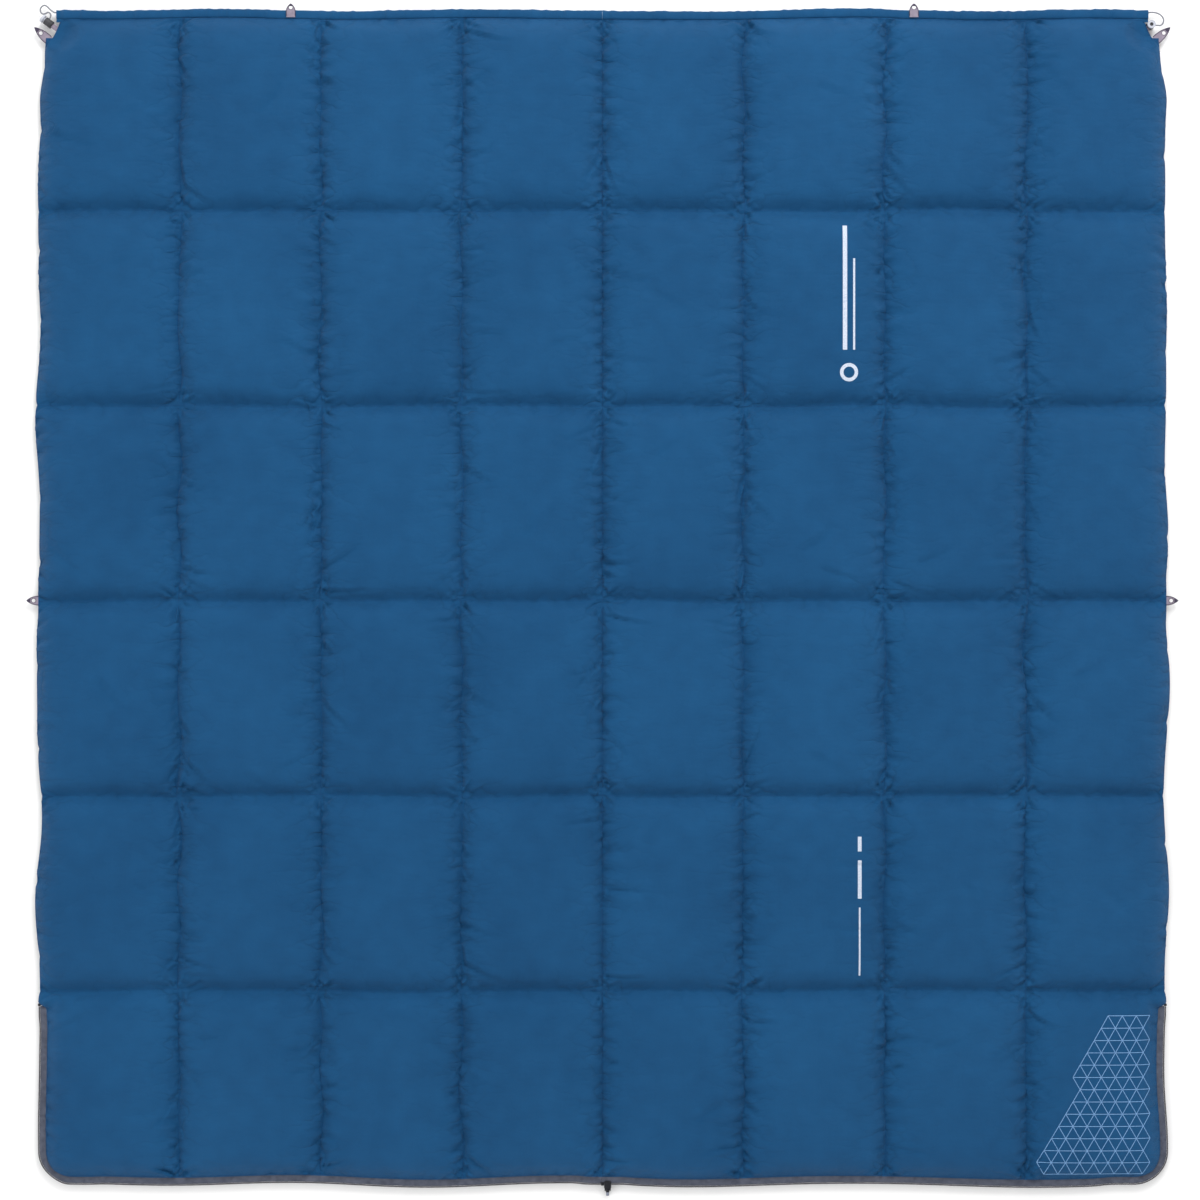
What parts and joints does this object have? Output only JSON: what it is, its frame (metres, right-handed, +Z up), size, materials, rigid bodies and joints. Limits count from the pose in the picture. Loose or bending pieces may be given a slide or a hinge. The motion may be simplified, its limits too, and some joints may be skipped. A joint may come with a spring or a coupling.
{
  "type": "camp quilt",
  "caption": "Two-person sewn-through down camp quilt with a zipped foot end, a drawcord neck edge and webbing tie-down loops.",
  "frame": {"origin": "on the ground under the middle of the quilt's box, cords left out", "axes": "+Z up, +Y towards the neck edge, +X to the right as seen from above"},
  "size_m": [1.96, 2.0304, 0.042],
  "materials": {
    "shell_fabric": "downproof ripstop nylon, slight sheen",
    "lining_fabric": "plain soft nylon taffeta",
    "down": "white down clusters",
    "thread": "polyester thread",
    "webbing": "woven grosgrain",
    "zip_tape": "woven polyester tape",
    "zip_coil": "nylon coil",
    "zip_metal": "black painted zinc",
    "elastic_cord": "braided sleeve over rubber",
    "lock_plastic": "moulded acetal",
    "button_plastic": "moulded",
    "spring_steel": "drawn wire"
  },
  "bodies": {
    "right_half": {"outer_shell_right": "shell_fabric", "lining_right": "lining_fabric", "down_fill_right_1": "down", "down_fill_right_2": "down", "down_fill_right_3": "down", "down_fill_right_4": "down", "quilting_thread_right": "thread", "neck_channel_right": "shell_fabric", "drawcord_right": "elastic_cord", "zip_tape_right": "zip_tape", "zip_coil_right": "zip_coil", "zip_top_stop_right": "zip_metal", "side_loop_right": "webbing", "corner_loop_right": "webbing", "neck_loop_right": "webbing", "lock_tab_right": "webbing", "cord_lock_body_right": "lock_plastic", "cord_lock_spring_right": "spring_steel", "corner_cord_right": "elastic_cord", "zip_bottom_stop": "zip_metal"},
    "left_half": {"outer_shell_left": "shell_fabric", "lining_left": "lining_fabric", "down_fill_left_1": "down", "down_fill_left_2": "down", "down_fill_left_3": "down", "down_fill_left_4": "down", "quilting_thread_left": "thread", "neck_channel_left": "shell_fabric", "drawcord_left": "elastic_cord", "zip_tape_left": "zip_tape", "zip_coil_left": "zip_coil", "zip_top_stop_left": "zip_metal", "side_loop_left": "webbing", "corner_loop_left": "webbing", "neck_loop_left": "webbing", "lock_tab_left": "webbing", "cord_lock_body_left": "lock_plastic", "cord_lock_spring_left": "spring_steel", "corner_cord_left": "elastic_cord"},
    "slider": {"zip_slider": "zip_metal"},
    "pull": {"zip_pull": "zip_metal", "pull_cord": "button_plastic"},
    "button_right": {"cord_lock_button_right": "button_plastic"},
    "button_left": {"cord_lock_button_left": "button_plastic"}
  },
  "joints": [
    {"name": "quilt_fold", "type": "hinge", "parent": "right_half", "child": "left_half", "pos_m": [0, 0, 0.043], "axis": [0, 1, 0], "range_deg": [0, 179.5]},
    {"name": "zip_slide", "type": "slide", "parent": "right_half", "child": "slider", "axis": [1, 0, 0], "range_m": [0, 0.88]},
    {"name": "pull_flip", "type": "hinge", "parent": "slider", "child": "pull", "pos_m": [0.009, -1.00323, 0.012], "axis": [-1, 0, 0], "range_deg": [-10, 115]},
    {"name": "button_right_press", "type": "slide", "parent": "right_half", "child": "button_right", "axis": [0, 0, -1], "range_m": [0, 0.003], "stiffness_N_per_m": 600, "springref_m": -0.001},
    {"name": "button_left_press", "type": "slide", "parent": "left_half", "child": "button_left", "axis": [0.7986, -0.6018, 0], "range_m": [0, 0.003], "stiffness_N_per_m": 600, "springref_m": -0.001}
  ]
}
